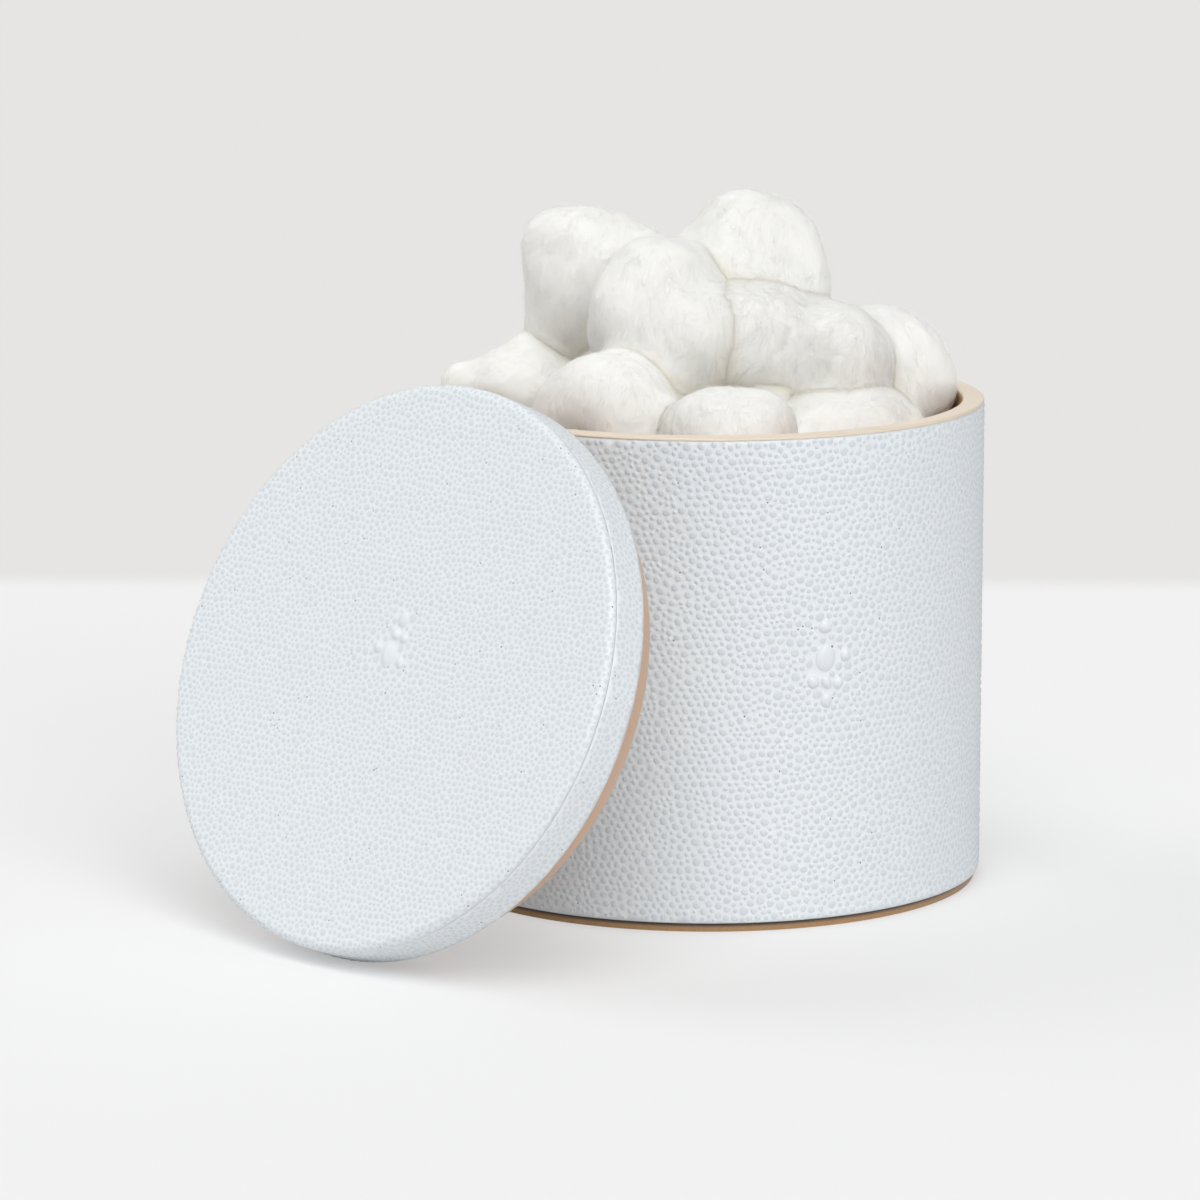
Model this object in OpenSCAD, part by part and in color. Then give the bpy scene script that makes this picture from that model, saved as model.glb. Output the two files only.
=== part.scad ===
// Round cotton holder in pale blue faux shagreen, with its lid leaning on it.
// Origin: centre of the canister's foot, on the surface it stands on. +Z is up,
// and the lid leans on the side towards -X and -Y. Millimetres.

/* [Canister] */
// Outside diameter of the canister over its covering
body_d = 115; // [100:1:130]
// Height of the covering round the wall
wrap_h = 97.5; // [85:0.5:110]
// Bare rim that shows above the covering
lip_h = 0.5; // [0.3:0.1:2]
// Width of the flat rim, from the bore to the outside
rim_w = 4.6; // [3.5:0.1:6]
// Rounding of the rim's two edges
rim_round = 0.5; // [0.3:0.1:1]
// Thickness of the base board inside the wall
base_t = 6; // [4:0.5:10]
// Height of the rebate in the wall that the base board is glued in
rebate_h = 3; // [1.5:0.5:4]
// Depth of that rebate into the wall
rebate_w = 1.6; // [1:0.1:2]

/* [Covering] */
// Thickness of the shagreen sheet
wrap_t = 0.8; // [0.5:0.1:1.2]
// Gap at the butt seam where the two ends of a strip meet
seam_gap = 0.3; // [0.2:0.1:1]
// Width of the bare edges' step behind the covering's face
edge_step = 0.15; // [0.05:0.05:0.4]

/* [Foot] */
// Thickness of the suede pad under the canister
foot_h = 1.9; // [1:0.1:4]
// Distance from the pad's edge in to the outside of the canister
foot_inset = 1.2; // [0.5:0.1:4]

/* [Lid] */
// Height of the closed lid above the canister's rim
lid_h = 10.2; // [8:0.1:16]
// Thickness of the lid's top board
lid_top_t = 4.5; // [3:0.1:6]
// Bare edge that shows below the lid's covering
lid_edge_h = 0.2; // [0.1:0.1:2]
// Rounding of the lid's top edge, over the covering
lid_round = 1.6; // [1:0.1:2.4]
// Depth that the top sheet is turned down below that rounding
turn_down = 0.3; // [0.3:0.1:1.5]
// Depth of the locating ring below the lid's edge
ring_h = 8; // [5:0.5:12]
// Wall of the locating ring
ring_w = 3; // [2:0.1:5]
// Rounding of the locating ring's lower edges
ring_round = 0.6; // [0.3:0.1:0.9]

/* [Lean] */
// Lean of the lid back from upright, in degrees
lean = 22.4; // [16:0.2:28]
// Direction that the lid faces, in degrees from -Y towards -X
facing = 42.7; // [0:0.1:90]
// Distance from the canister's axis to the lid's, seen from the front of the lid
lean_shift = 2.2; // [0:0.1:6]

/* [Cotton] */
// Number of layers of cotton balls below the heap
layers = 3; // [2:1:4]

/* [Fits] */
// Glue line between a covering and its core
glue = 0.05; // [0.02:0.01:0.1]
// Clearance of the locating ring in the canister's bore, at its side
ring_gap = 0.5; // [0.3:0.1:1.5]
// Space from the leaning lid to the canister
lean_gap = 0.3; // [0.2:0.1:0.5]
// Space from a cotton ball to the next, and to the walls and floor
cotton_gap = 0.3; // [0.2:0.1:0.5]

/* [Hidden] */
$fn = 96;

body_r = body_d / 2;
bore_r = body_r - rim_w;
core_r = body_r - wrap_t - glue;
edge_r = body_r - edge_step;
lip_round = min(rim_round, 0.8 * lip_h);
wrap_z = foot_h;
lip_z = wrap_z + wrap_h;
rim_z = lip_z + lip_h;
floor_z = foot_h + base_t;

ring_r = bore_r - ring_gap;
recess_r = ring_r + glue;
recess_h = lid_h - wrap_t - glue - lid_top_t;
core_round = lid_round - wrap_t;
seam_z = lid_h - lid_round - turn_down;

// The leaning lid stands on its lower edge, and the end of its locating ring
// meets the canister's wall.
ring_end_z = cos(lean) * (body_r + ring_r) - sin(lean) * ring_h;
ring_end_y = sin(lean) * (body_r + ring_r) + cos(lean) * ring_h;
// Where the ring ends higher than the rim, the rim goes into the ring, until it
// meets the ring's two sides or the board.
over_rim = max(0, ring_end_z - rim_z);
ring_bore_r = ring_r - ring_w;
rim_along = ring_r - over_rim / cos(lean);
rim_chord = sqrt(max(0, pow(ring_bore_r, 2) - pow(rim_along, 2)));
rim_side = max(0, rim_chord - lean_shift);
lean_r = body_r + lean_gap;
on_ring_y = sqrt(pow(lean_r, 2) - pow(rim_side, 2)) + ring_end_y - over_rim * tan(lean);
on_board_y = lean_r + rim_z * tan(lean) - recess_h / cos(lean);
foot_y = max(on_ring_y, on_board_y);

// The heap was laid out for a bore of this radius, and keeps to the bore.
heap_bore = 52.9;
heap_k = bore_r / heap_bore;
// Depth below the rim at which the layers under the heap end, in that layout
heap_depth = 16.2;
heap_z = rim_z - heap_depth * heap_k;

// Each ball of the heap as its one or two lobes:
// [x, y, height of the lobe's centre over the rim, radius]
heap = [
    // Upper left
    [[-25.5, 12.5, 26.5, 12], [-18, 15, 25, 11.5]],
    // Upper left, in front
    [[-9, -8, 24.5, 10.8], [-13, -9.5, 17.5, 11.8]],
    // Upper right
    [[5.5, 7, 30.5, 10.3], [13.5, 7, 29.5, 11.2]],
    // Right of the middle
    [[12, -9.5, 15, 9.2], [25, -6.5, 12.5, 11]],
    // Right, at the wall
    [[36.5, 9.5, 9, 8.4], [39.5, 11.5, -2.5, 11.2]],
    // Left, at the wall
    [[-38, 8.5, -2, 11.4], [-34.5, 16.5, -1, 9.5]],
    // Front left
    [[-19.5, -26.5, 1, 10.6], [-14.5, -26.5, -6.5, 11.6]],
    // Front
    [[3, -39, -6, 9.2], [9.5, -38.5, -4.5, 10]],
    // Front right, under the one right of the middle
    [[25.5, -17, -8, 11]],
    // Back left
    [[-17.5, 31, -2.5, 12.4]],
    // Back right
    [[20, 31, -4.5, 12.4]],
    // Inside the heap, left
    [[-13.5, 6, -2, 12.4]],
    // Inside the heap, right
    [[12, 6.5, -2.5, 12.4]],
    // Back, under the two uppermost
    [[2.5, 24.5, 13.5, 13]],
];

// Hidden layers: a ring of balls along the wall, and a group in the middle
layer_h = (heap_z - floor_z - cotton_gap) / layers;
ball_r = (layer_h - cotton_gap) / 2;
outer_ring_r = bore_r - cotton_gap - ball_r;
half_step = asin((ball_r + cotton_gap / 2) / outer_ring_r);
outer_count = 4 * floor(180 / half_step / 4);
trio_r = (ball_r + cotton_gap / 2) / sin(60);
trio_fits = outer_ring_r - trio_r >= 2 * ball_r + cotton_gap;
inner_count = trio_fits ? 3 : 1;
inner_ring_r = trio_fits ? trio_r : 0;

tan_paint = [0.91, 0.82, 0.69];
shagreen = [0.81, 0.85, 0.89];
suede = [0.55, 0.43, 0.33];
cotton = [0.97, 0.97, 0.95];

// Quarter disc that rounds an edge, with its centre at the origin
module round_corner(round_r) {
    intersection() {
        circle(r = round_r, $fn = 48);
        square(round_r);
    }
}

// Ring with a rounded upper edge on both sides, from r1 to r2 and z1 to z2
module ring_profile(r1, r2, z1, z2, round_r) {
    translate([r1, z1])
        square([r2 - r1, z2 - z1 - round_r]);
    translate([r1 + round_r, z1])
        square([r2 - r1 - 2 * round_r, z2 - z1]);
    translate([r2 - round_r, z2 - round_r])
        round_corner(round_r);
    translate([r1 + round_r, z2 - round_r])
        mirror([1, 0])
            round_corner(round_r);
}

// Disc with a rounded upper edge, from z1 to z2
module disc_profile(r, z1, z2, round_r) {
    translate([0, z1])
        square([r, z2 - z1 - round_r]);
    translate([0, z1])
        square([r - round_r, z2 - z1]);
    translate([r - round_r, z2 - round_r])
        round_corner(round_r);
}

// Strip of shagreen bent into a tube, with its butt seam towards seam_at
module wrapped_strip(z1, z2, seam_at) {
    difference() {
        translate([0, 0, z1])
            cylinder(r = body_r, h = z2 - z1);
        translate([0, 0, z1 - 1])
            cylinder(r = body_r - wrap_t, h = z2 - z1 + 2);
        rotate([0, 0, seam_at])
            translate([body_r - 2 * wrap_t, -seam_gap / 2, z1 - 1])
                cube([3 * wrap_t, seam_gap, z2 - z1 + 2]);
    }
}

// Turned wall: the covering lies in its outside, between the foot and the lip
module canister_wall() {
    color(tan_paint)
        difference() {
            union() {
                translate([0, 0, wrap_z])
                    cylinder(r = core_r, h = wrap_h);
                rotate_extrude()
                    ring_profile(bore_r, edge_r, lip_z, rim_z, lip_round);
            }
            translate([0, 0, wrap_z - 1])
                cylinder(r = bore_r, h = wrap_h + 1);
            translate([0, 0, wrap_z - 1])
                cylinder(r = bore_r + rebate_w, h = rebate_h + 1);
        }
}

module canister_base() {
    color(tan_paint) {
        translate([0, 0, wrap_z])
            cylinder(r = bore_r + rebate_w - glue, h = rebate_h - glue);
        translate([0, 0, wrap_z])
            cylinder(r = bore_r - glue, h = base_t);
    }
}

module canister_wrap() {
    color(shagreen)
        wrapped_strip(wrap_z, lip_z, 90);
}

module foot_pad() {
    color(suede)
        cylinder(r = body_r - foot_inset, h = foot_h);
}

// Carries the lid from its closed frame, with its edge at z = 0 and its top up,
// to where it leans
module leaning() {
    rotate([0, 0, -facing])
        translate([lean_shift, -foot_y, 0])
            rotate([90 - lean, 0, 0])
                translate([0, body_r, 0])
                    children();
}

// Turned lid: a board with a recess for its ring
module lid_core() {
    color(tan_paint)
        leaning()
            difference() {
                rotate_extrude()
                    disc_profile(core_r, 0, lid_h - wrap_t - glue, core_round);
                translate([0, 0, -1])
                    cylinder(r = recess_r, h = recess_h + 1);
            }
}

// Ring that centres the lid in the bore, glued in the lid's recess
module lid_locating_ring() {
    color(tan_paint)
        leaning()
            mirror([0, 0, 1])
                rotate_extrude()
                    ring_profile(ring_bore_r, ring_r, glue - recess_h, ring_h, ring_round);
}

module lid_side_wrap() {
    color(shagreen)
        leaning()
            wrapped_strip(lid_edge_h, seam_z - glue, 180);
}

// Sheet over the lid's top, turned down over its rounded edge
module lid_top_cover() {
    color(shagreen)
        leaning()
            difference() {
                rotate_extrude()
                    disc_profile(body_r, seam_z, lid_h, lid_round);
                rotate_extrude()
                    disc_profile(body_r - wrap_t, seam_z - 1, lid_h - wrap_t, core_round);
            }
}

// Cotton ball: its lobes' outline, turned about the line through their centres
module cotton_ball(lobes) {
    centres = [for (lobe = lobes) [lobe[0], lobe[1], lobe[2]] * heap_k];
    span = centres[len(centres) - 1] - centres[0];
    lie = atan2(norm([span[0], span[1]]), span[2]);
    turn = atan2(span[1], span[0]);
    widest = max([for (lobe = lobes) lobe[3] * heap_k]);
    color(cotton)
        translate(centres[0] + [0, 0, rim_z])
            rotate([0, lie, turn])
                rotate_extrude()
                    intersection() {
                        for (i = [0:len(lobes) - 1])
                            translate([0, norm(centres[i] - centres[0])])
                                circle(r = lobes[i][3] * heap_k);
                        translate([0, -2 * widest])
                            square([2 * widest, norm(span) + 4 * widest]);
                    }
}

// Ring of count balls round the axis, half a step off the X axis
module ball_ring(count, ring_radius) {
    for (i = [0:count - 1])
        rotate([0, 0, (i + 0.5) * 360 / count])
            translate([ring_radius, 0, 0])
                sphere(r = ball_r);
}

module cotton_lower_layers() {
    color(cotton)
        for (layer = [0:layers - 1])
            translate([0, 0, floor_z + cotton_gap + ball_r + layer * layer_h]) {
                ball_ring(outer_count, outer_ring_r);
                ball_ring(inner_count, inner_ring_r);
            }
}

canister_wall();
canister_base();
canister_wrap();
foot_pad();
lid_core();
lid_locating_ring();
lid_side_wrap();
lid_top_cover();
for (i = [0:len(heap) - 1])
    cotton_ball(heap[i]);
cotton_lower_layers();
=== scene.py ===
"""Dresses the round cotton holder: its shagreen covering, its leaning lid and its cotton balls.

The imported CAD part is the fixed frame. Every size here is in millimetres until a mesh is
written, in the frame of the CAD part: origin at the centre of the foot, +Z up.
"""

import itertools
import logging
import math
from abc import ABC, abstractmethod
from collections.abc import Iterable, Sequence
from dataclasses import dataclass
from enum import Enum

import bmesh
import bpy
import numpy as np
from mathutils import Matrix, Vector
from mathutils.geometry import delaunay_2d_cdt


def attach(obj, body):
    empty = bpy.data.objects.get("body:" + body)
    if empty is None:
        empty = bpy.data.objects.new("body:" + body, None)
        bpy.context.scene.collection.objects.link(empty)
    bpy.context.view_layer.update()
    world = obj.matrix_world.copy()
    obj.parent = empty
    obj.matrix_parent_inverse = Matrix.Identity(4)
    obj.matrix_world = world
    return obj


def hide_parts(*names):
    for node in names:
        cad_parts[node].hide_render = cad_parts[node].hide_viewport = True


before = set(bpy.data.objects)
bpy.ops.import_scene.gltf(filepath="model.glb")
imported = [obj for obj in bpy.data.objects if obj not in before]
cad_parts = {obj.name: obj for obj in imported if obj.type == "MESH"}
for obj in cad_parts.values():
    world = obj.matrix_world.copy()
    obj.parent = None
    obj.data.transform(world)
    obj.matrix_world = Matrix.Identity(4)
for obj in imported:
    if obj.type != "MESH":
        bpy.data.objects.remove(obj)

LOG = logging.getLogger("cotton_holder")
MM = 0.001
FULL_TURN = 2 * math.pi
Array = np.ndarray
Object = bpy.types.Object
Material = bpy.types.Material
Tree = bpy.types.NodeTree
Socket = bpy.types.NodeSocket
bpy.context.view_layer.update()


class Body(Enum):
    """The CAD bodies that the pieces ride on."""

    CANISTER = "canister"
    LID = "lid"
    COTTON = "cotton"


class Slot(Enum):
    """The record's material slots."""

    TAN_PAINT = "tan_paint"
    SHAGREEN = "shagreen"
    SUEDE = "suede"
    COTTON = "cotton"


# ---------------------------------------------------------------- shader helpers


def linear(code: str) -> tuple[float, float, float, float]:
    """Turns an sRGB hex colour into linear RGBA: ((c + 0.055) / 1.055) ^ 2.4, or c / 12.92 near black.

    Args:
        code: Six hex digits, such as "d9dfe3".

    Returns:
        Linear red, green and blue, and 1.
    """
    channels = (int(code[i : i + 2], 16) / 255 for i in (0, 2, 4))
    red, green, blue = (
        c / 12.92 if c <= 0.04045 else ((c + 0.055) / 1.055) ** 2.4 for c in channels
    )
    return red, green, blue, 1.0


def add(
    tree: Tree,
    kind: str,
    values: dict[int | str, object] | None = None,
    links: dict[int | str, Socket] | None = None,
    **settings: object,
) -> bpy.types.Node:
    """Adds one shader node with its settings and links.

    Args:
        tree: The node tree that gets the node.
        kind: The node's type, such as "ShaderNodeTexNoise".
        values: Constant for each input, by its name or number.
        links: Output socket for each input, by its name or number.
        **settings: The node's own properties.

    Returns:
        The new node.
    """
    node = tree.nodes.new(kind)
    for name, value in settings.items():
        setattr(node, name, value)
    for key, value in (values or {}).items():
        node.inputs[key].default_value = value
    for key, socket in (links or {}).items():
        tree.links.new(socket, node.inputs[key])
    return node


def new_material(name: str) -> tuple[Material, Tree]:
    """Makes a material and empties its node tree."""
    material = bpy.data.materials.new(name)
    material.use_nodes = True
    material.node_tree.nodes.clear()
    return material, material.node_tree


def surface_out(tree: Tree, shader: Socket) -> None:
    """Links a shader to the material's surface."""
    add(tree, "ShaderNodeOutputMaterial", links={"Surface": shader})


def attribute(tree: Tree, name: str, output: str = "Fac") -> Socket:
    """Reads one of the piece's own attributes."""
    return add(tree, "ShaderNodeAttribute", attribute_name=name).outputs[output]


def object_place(tree: Tree) -> Socket:
    """Object coordinates, in metres."""
    return add(tree, "ShaderNodeTexCoord").outputs["Object"]


def coordinate(tree: Tree, place: Socket, axis: str) -> Socket:
    """One coordinate of a place."""
    return add(tree, "ShaderNodeSeparateXYZ", links={0: place}).outputs[axis]


def rise(tree: Tree, value: Socket, low: float, high: float) -> Socket:
    """Goes from 0 at low to 1 at high along 3 t^2 - 2 t^3."""
    return add(
        tree, "ShaderNodeMapRange", interpolation_type="SMOOTHSTEP",
        values={"From Min": low, "From Max": high}, links={"Value": value},
    ).outputs[0]


def noise(tree: Tree, place: Socket, size: float, detail: float, roughness: float = 0.5) -> Socket:
    """Noise whose spots are about a size apart, in the unit of the place."""
    return add(
        tree, "ShaderNodeTexNoise",
        values={"Scale": 1 / size, "Detail": detail, "Roughness": roughness}, links={"Vector": place},
    ).outputs[0]


def colour_mix(tree: Tree, first: str | Socket, second: str | Socket, factor: Socket) -> Socket:
    """Mixes two colours.

    Args:
        tree: The node tree that gets the node.
        first: Colour where the factor is 0, as sRGB hex or a socket.
        second: Colour where the factor is 1, as sRGB hex or a socket.
        factor: Socket of the factor.

    Returns:
        Socket of the mixed colour.
    """
    colours = {6: first, 7: second}
    values = {key: linear(colour) for key, colour in colours.items() if isinstance(colour, str)}
    links = {key: colour for key, colour in colours.items() if key not in values}
    return add(tree, "ShaderNodeMix", data_type="RGBA", values=values, links={0: factor, **links}).outputs[2]


def bump(tree: Tree, height: Socket, strength: float, depth: float, under: Socket | None = None) -> Socket:
    """Tilts the normal by a height from 0 to 1, which stands for a depth in mm.

    Args:
        tree: The node tree that gets the node.
        height: Socket of the height.
        strength: How much of the tilt is used.
        depth: Height difference from 0 to 1, in mm.
        under: Normal that it comes on top of.

    Returns:
        Socket of the normal.
    """
    links = {"Height": height} if under is None else {"Height": height, "Normal": under}
    return add(tree, "ShaderNodeBump", values={"Strength": strength, "Distance": depth * MM}, links=links).outputs[0]


def principled(tree: Tree, colour: Socket, normal: Socket, values: dict[str, object]) -> Socket:
    """Principled shader with a colour, a normal and constants for its other inputs."""
    links = {"Base Color": colour, "Normal": normal}
    return add(tree, "ShaderNodeBsdfPrincipled", values=values, links=links).outputs[0]


# ---------------------------------------------------------------- finishes


@dataclass(frozen=True)
class ShagreenFinish:
    """Faux shagreen: embossed polyurethane on cloth, with its grooves wiped paler than its beads.

    Attributes:
        name: The material's name.
        cool: A blue-grey bead.
        warm: A greyer bead.
        shoulder: The bead's sloping edge, a little darker than the warm beads and the pearls: painted shade of the
            slope.
        pearl: The few large beads.
        groove: The pale groove between the beads.
        pit: The few dark pits in it.
        dome: How much a bead's flank bulges over the mesh's straight one, in mm.
        pore: Distance between the fine pores of the coating, in mm.
        foot_range: Shares of a bead's height between which the groove's colour ends.
        flank_shade_range: Shares of its height between which the shoulder's painted shade ends.
        dome_range: Shares of its height between which its flank bulges.
        pit_range: Values of the pit attribute between which the dark begins.
    """

    name: str = "faux_shagreen_embossed"
    cool: str = "d1d9df"
    warm: str = "d8dcdd"
    shoulder: str = "d2d9de"
    pearl: str = "dfe4e8"
    groove: str = "e2e7eb"
    pit: str = "77787a"
    dome: float = 0.08
    pore: float = 0.35
    foot_range: tuple[float, float] = (0.0, 0.1)
    flank_shade_range: tuple[float, float] = (0.05, 0.4)
    dome_range: tuple[float, float] = (0.0, 0.5)
    pit_range: tuple[float, float] = (0.8, 0.97)

    def material(self) -> Material:
        """Makes the material from the sheet's own attributes relief, tone, pit and pearl."""
        made, tree = new_material(self.name)
        relief, tone, pit, pearl = (attribute(tree, name) for name in ("relief", "tone", "pit", "pearl"))
        plain = colour_mix(tree, self.cool, self.warm, tone)
        bead = colour_mix(tree, plain, self.pearl, pearl)
        # Painted shade: the bead's sloping edge takes the darker shoulder colour.
        shoulder = colour_mix(tree, self.shoulder, bead, rise(tree, relief, *self.flank_shade_range))
        wiped = colour_mix(tree, self.groove, shoulder, rise(tree, relief, *self.foot_range))
        colour = colour_mix(tree, wiped, self.pit, rise(tree, pit, *self.pit_range))
        swollen = bump(tree, rise(tree, relief, *self.dome_range), strength=1.0, depth=self.dome)
        pores = noise(tree, object_place(tree), self.pore * MM, detail=3.0)
        normal = bump(tree, pores, strength=0.25, depth=0.03, under=swollen)
        surface_out(tree, principled(tree, colour, normal, {"Roughness": 0.46, "IOR": 1.5}))
        return made


@dataclass(frozen=True)
class PaintFinish:
    """Satin lacquer on turned wood: pale on the rim, and a deeper caramel elsewhere, which is painted shade and
    painted warm reflected light of the shaded bore.

    Attributes:
        name: The material's name.
        pale: The lacquer's colour on the rim.
        light: Its colour elsewhere, darker and warmer than the rim: painted shade and painted reflected light.
        deep: The same where the coat is thicker.
        painted_shade_below: Height in mm below which the caramel painted shade lies, and above which it is pale.
            None where nothing is.
        pale_blur: Height on both sides of that over which the colours blend, in mm.
        cloud: Size of the thicker and thinner areas of the coat, in mm.
        ring: Distance between turning marks, in mm.
    """

    name: str = "lacquered_turned_wood"
    pale: str = "e3d4c0"
    light: str = "ddb487"
    deep: str = "d3a470"
    painted_shade_below: float | None = 99.0
    pale_blur: float = 0.2
    cloud: float = 14.0
    ring: float = 0.7

    def material(self) -> Material:
        """Makes the material on Object coordinates."""
        made, tree = new_material(self.name)
        place = object_place(tree)
        colour = colour_mix(tree, self.light, self.deep, noise(tree, place, self.cloud * MM, detail=4.0))
        # Painted shade: the caramel below this height stands in for the shaded bore; the rim above keeps its pale
        # colour.
        if self.painted_shade_below is not None:
            low, high = ((self.painted_shade_below + side) * MM for side in (-self.pale_blur, self.pale_blur))
            colour = colour_mix(tree, colour, self.pale, rise(tree, coordinate(tree, place, "Z"), low, high))
        marks = noise(tree, place, self.ring * MM, detail=2.0)
        normal = bump(tree, marks, strength=0.15, depth=0.03)
        surface_out(tree, principled(tree, colour, normal, {"Roughness": 0.42, "IOR": 1.5}))
        return made


@dataclass(frozen=True)
class SuedeFinish:
    """Suede split leather: brushed, so it has a nap and no gloss. The top of its edge is painted dark: painted
    shadow of the gap under the covering.

    Attributes:
        light: The nap brushed one way.
        dark: The nap brushed the other way.
        gap_shadow: Painted shadow along the top of its edge, under the covering's lower edge.
        gap_shadow_range: Heights in mm between which the painted shadow begins.
        nap: Size of a tuft of the nap, in mm.
    """

    light: str = "b8946c"
    dark: str = "997752"
    gap_shadow: str = "4a4845"
    gap_shadow_range: tuple[float, float] = (0.65, 1.55)
    nap: float = 0.5

    def material(self) -> Material:
        """Makes the material on Object coordinates."""
        made, tree = new_material("suede_split")
        place = object_place(tree)
        tufts = noise(tree, place, self.nap * MM, detail=5.0)
        # Painted shadow: the top of the pad's edge, under the covering, turns dark.
        low, high = (height * MM for height in self.gap_shadow_range)
        edge = rise(tree, coordinate(tree, place, "Z"), low, high)
        colour = colour_mix(tree, colour_mix(tree, self.dark, self.light, tufts), self.gap_shadow, edge)
        normal = bump(tree, tufts, strength=0.6, depth=0.1)
        values = {"Roughness": 0.95, "Sheen Weight": 0.4, "Sheen Roughness": 0.5}
        surface_out(tree, principled(tree, colour, normal, values))
        return made


@dataclass(frozen=True)
class CottonFinish:
    """Bleached carded cotton: matt white fibre that light goes into, so its shades stay soft.

    Attributes:
        white: The fibre's colour.
        cream: The same where the fibre is matted.
        deep: The same, darker and warmer, deep between the balls: painted shade and painted warm bounce light.
        strand: Distance between the strands that show, in mm. Real fibre is a tenth of that.
        mat: Size of the matted areas, in mm.
        crease_shade_range: Values of the meeting attribute between which the painted crease shade begins.
        soak: How far light goes into the wad, in mm.
    """

    white: str = "f8f8f5"
    cream: str = "f5f4ef"
    deep: str = "f0ebdc"
    strand: float = 0.45
    mat: float = 5.0
    crease_shade_range: tuple[float, float] = (0.25, 1.05)
    soak: float = 4.0

    def material(self) -> Material:
        """Makes the material on the ball's attributes: lay runs along its fibres, loose marks the loose ones."""
        made, tree = new_material("bleached_carded_cotton")
        lay = attribute(tree, "lay", "Vector")
        strands = noise(tree, lay, self.strand, detail=6.0, roughness=0.62)
        matted = colour_mix(tree, self.white, self.cream, noise(tree, lay, self.mat, detail=3.0))
        # Painted shade: where balls meet, the colour turns to the darker, warmer deep one.
        between = rise(tree, attribute(tree, "meeting"), *self.crease_shade_range)
        colour = colour_mix(tree, matted, self.deep, between)
        normal = bump(tree, strands, strength=0.3, depth=0.12)
        wad = principled(tree, colour, normal, {
            "Roughness": 1.0, "Specular IOR Level": 0.1,
            "Subsurface Weight": 0.6, "Subsurface Radius": (1.0, 0.97, 0.9), "Subsurface Scale": self.soak * MM,
            "Sheen Weight": 0.4, "Sheen Roughness": 0.5,
        })
        fibre = add(tree, "ShaderNodeBsdfDiffuse", values={"Color": linear(self.white)}).outputs[0]
        both = add(tree, "ShaderNodeMixShader", links={0: attribute(tree, "loose"), 1: wad, 2: fibre})
        surface_out(tree, both.outputs[0])
        return made


# ---------------------------------------------------------------- mesh helpers


def in_scene(name: str, data: bpy.types.ID) -> Object:
    """Makes an object of a mesh, lamp or camera and links it to the scene."""
    made = bpy.data.objects.new(name, data)
    bpy.context.scene.collection.objects.link(made)
    return made


def mesh_object(name: str, points: Array, faces: Iterable[Sequence[int]], smooth: bool = True) -> Object:
    """Makes an object from points in millimetres.

    Args:
        name: The piece's name.
        points: N by 3 array in mm.
        faces: Index lists.
        smooth: Whether the faces are shaded smooth.

    Returns:
        The object, at the origin, with its place in its mesh.
    """
    mesh = bpy.data.meshes.new(name)
    mesh.from_pydata((points * MM).tolist(), [], np.asarray(faces).tolist())
    mesh.validate()
    mesh.shade_smooth() if smooth else mesh.shade_flat()
    return in_scene(name, mesh)


def set_attribute(made: Object, name: str, values: Array) -> None:
    """Writes a number or a vector for each vertex of a piece.

    Args:
        made: The piece.
        name: The attribute's name.
        values: N numbers, or N by 3.
    """
    kind, key = ("FLOAT", "value") if values.ndim == 1 else ("FLOAT_VECTOR", "vector")
    layer = made.data.attributes.new(name, kind, "POINT")
    layer.data.foreach_set(key, values.astype(np.float32).ravel())


def give_finish(made: Object, material: Material) -> None:
    """Gives a piece its slot and its finish."""
    made.data.materials.clear()
    made.data.materials.append(material)


def register(made: Object, body: Body, slot: Slot, material: Material, *nodes: str) -> None:
    """Gives a modelled piece its finish and its body, and hides the CAD nodes that it stands for.

    Args:
        made: The piece.
        body: The body that it rides on.
        slot: Its material slot. Not used.
        material: Its finish.
        *nodes: The CAD nodes that it replaces.
    """
    give_finish(made, material)
    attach(made, body.value)
    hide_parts(*nodes)
    LOG.info("%s: %d faces, rides on %s", made.name, len(made.data.polygons), body.value)


def dress(node: str, material: Material) -> None:
    """Gives a CAD node that stays its finish and its slot."""
    give_finish(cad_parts[node], material)
    LOG.info("%s: the CAD node, dressed", node)


class Waves:
    """Smooth random field: sqrt(2 / n) times the sum of n cosines, cos(k . x + phase)."""

    def __init__(self, seed: int, pitch: float, count: int = 40, stretch: Sequence[float] = (1, 1, 1)) -> None:
        """Draws the cosines.

        Args:
            seed: Seed of the random draw.
            pitch: Mean wavelength, in the points' unit.
            count: Number of cosines.
            stretch: How much longer the waves are along each axis.
        """
        rng = np.random.default_rng(seed)
        direction = rng.normal(size=(count, 3))
        direction /= np.linalg.norm(direction, axis=1, keepdims=True)
        length = pitch * rng.uniform(0.7, 1.5, (count, 1))
        self.k = direction * FULL_TURN / length / np.array(stretch, float)
        self.phase = rng.uniform(0, FULL_TURN, count)
        self.gain = math.sqrt(2 / count)

    def __call__(self, points: Array) -> Array:
        """Gives the field at N by 3 points."""
        return self.gain * np.cos(points @ self.k.T + self.phase).sum(axis=1)


# ---------------------------------------------------------------- placing


@dataclass(frozen=True)
class Placing:
    """Place of a piece's own axes in the CAD frame: its rows are a turn, then a shift in mm."""

    turn: tuple[tuple[float, float, float], ...] = ((1, 0, 0), (0, 1, 0), (0, 0, 1))
    shift: tuple[float, float, float] = (0, 0, 0)

    def carry(self, local: Array) -> Array:
        """Carries N by 3 points into the CAD frame: turn . p + shift."""
        return local @ np.array(self.turn, float).T + np.array(self.shift, float)


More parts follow.
